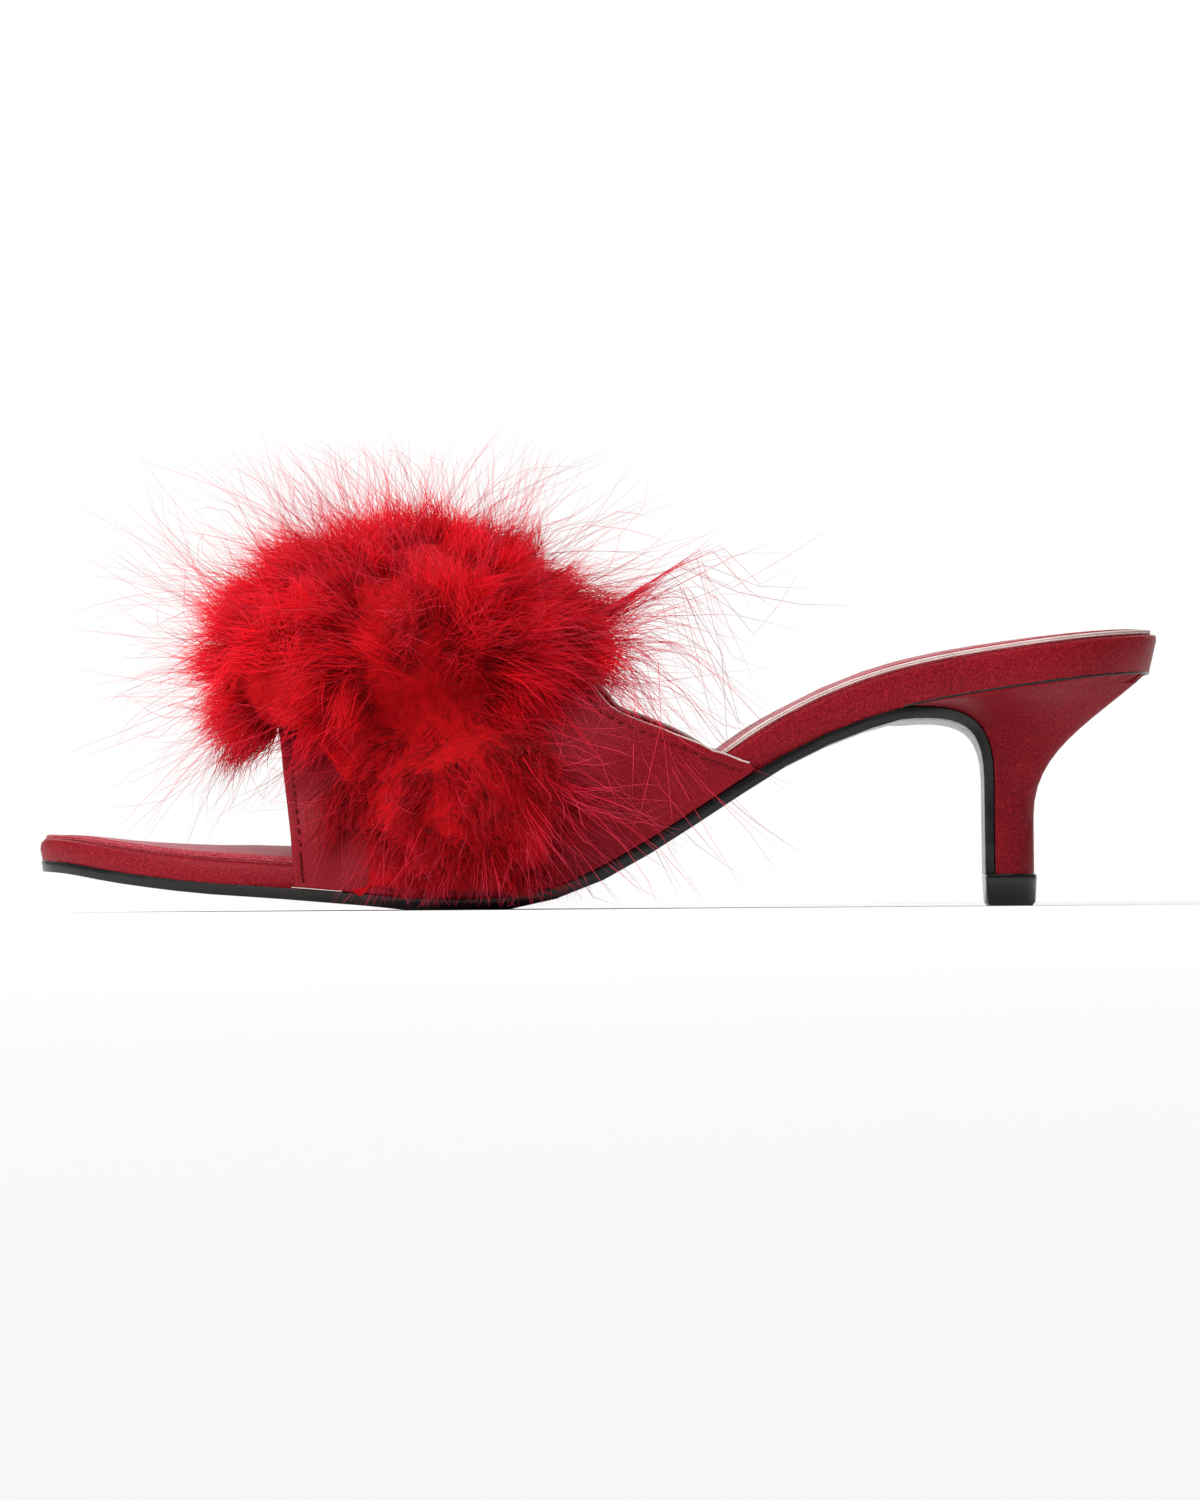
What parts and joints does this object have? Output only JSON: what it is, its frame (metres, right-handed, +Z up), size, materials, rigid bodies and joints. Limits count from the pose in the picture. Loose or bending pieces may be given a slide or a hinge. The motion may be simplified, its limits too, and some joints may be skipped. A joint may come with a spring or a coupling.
{
  "type": "marabou slipper",
  "caption": "Left open-toed slipper in red satin with a low curved heel, a black outsole and a red feather pompom on the upper.",
  "frame": {"origin": "on the floor, under the middle of the whole slipper's box", "axes": "+X from the toe towards the heel, +Y towards the inner side of the foot, +Z up"},
  "size_m": [0.238, 0.1342, 0.0867],
  "materials": {
    "red_satin": "satin",
    "sock_satin": "satin",
    "black_sole": "semi-gloss",
    "black_tip": "gloss",
    "red_feather": "matte"
  },
  "bodies": {
    "root": {"outsole": "black_sole", "footbed": "red_satin", "insole_sock": "sock_satin", "upper": "red_satin", "heel": "red_satin", "heel_tip": "black_tip", "pompom": "red_feather"}
  },
  "joints": []
}
